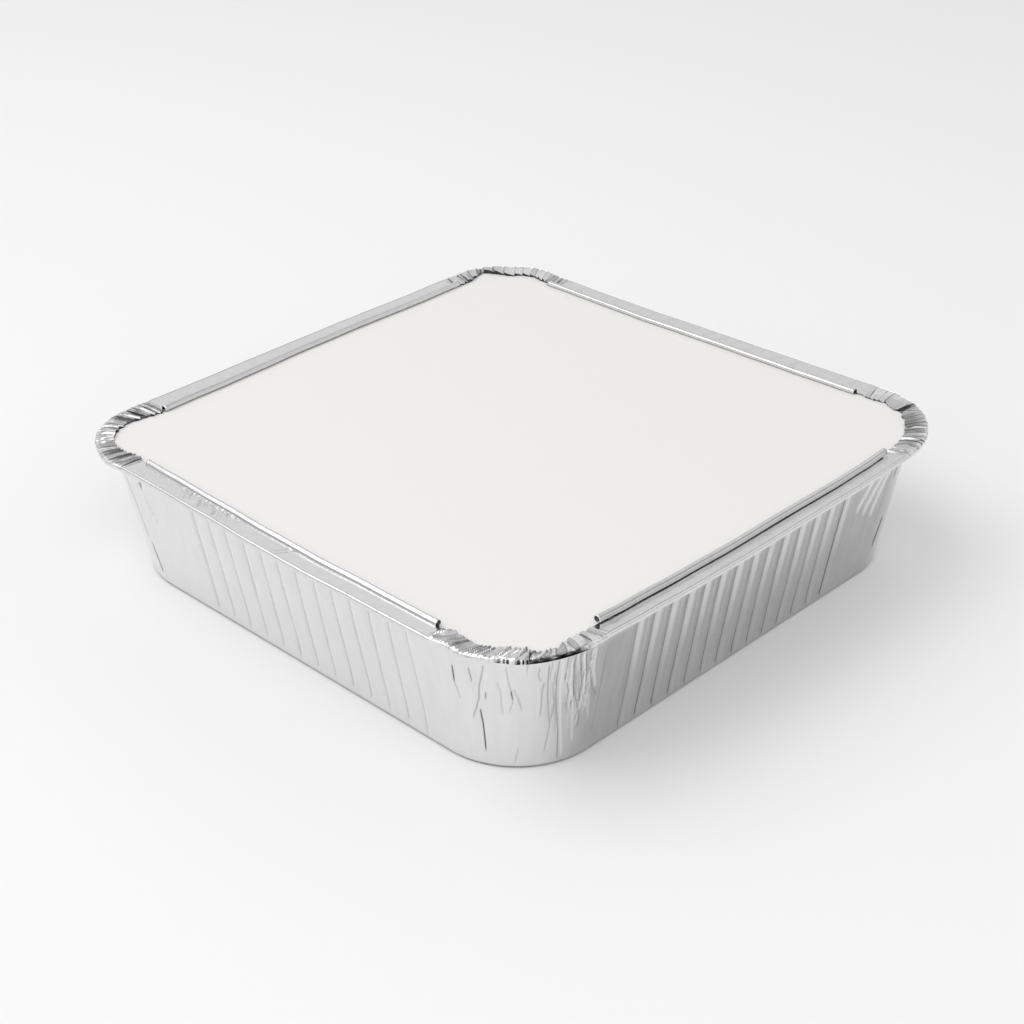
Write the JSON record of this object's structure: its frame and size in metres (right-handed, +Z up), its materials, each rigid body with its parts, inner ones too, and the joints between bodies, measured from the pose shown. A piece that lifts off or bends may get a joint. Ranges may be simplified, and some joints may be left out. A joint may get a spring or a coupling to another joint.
{
  "type": "foil food container",
  "caption": "Square foil takeaway tray with tapered fluted walls and a plain board lid, held by a rim folded over it with rolled beads and pleated corners.",
  "frame": {"origin": "middle of the base's underside, on the surface that the container stands on", "axes": "+Z up through the lid; the four walls face along +X, -X, +Y and -Y"},
  "size_m": [0.23, 0.23, 0.0523],
  "materials": {
    "foil": "satin, smooth outside, creased and pleated at the rim",
    "board": "matt, uncoated, plain"
  },
  "bodies": {
    "root": {"foil_tray": "foil", "lid_board": "board"}
  },
  "joints": []
}
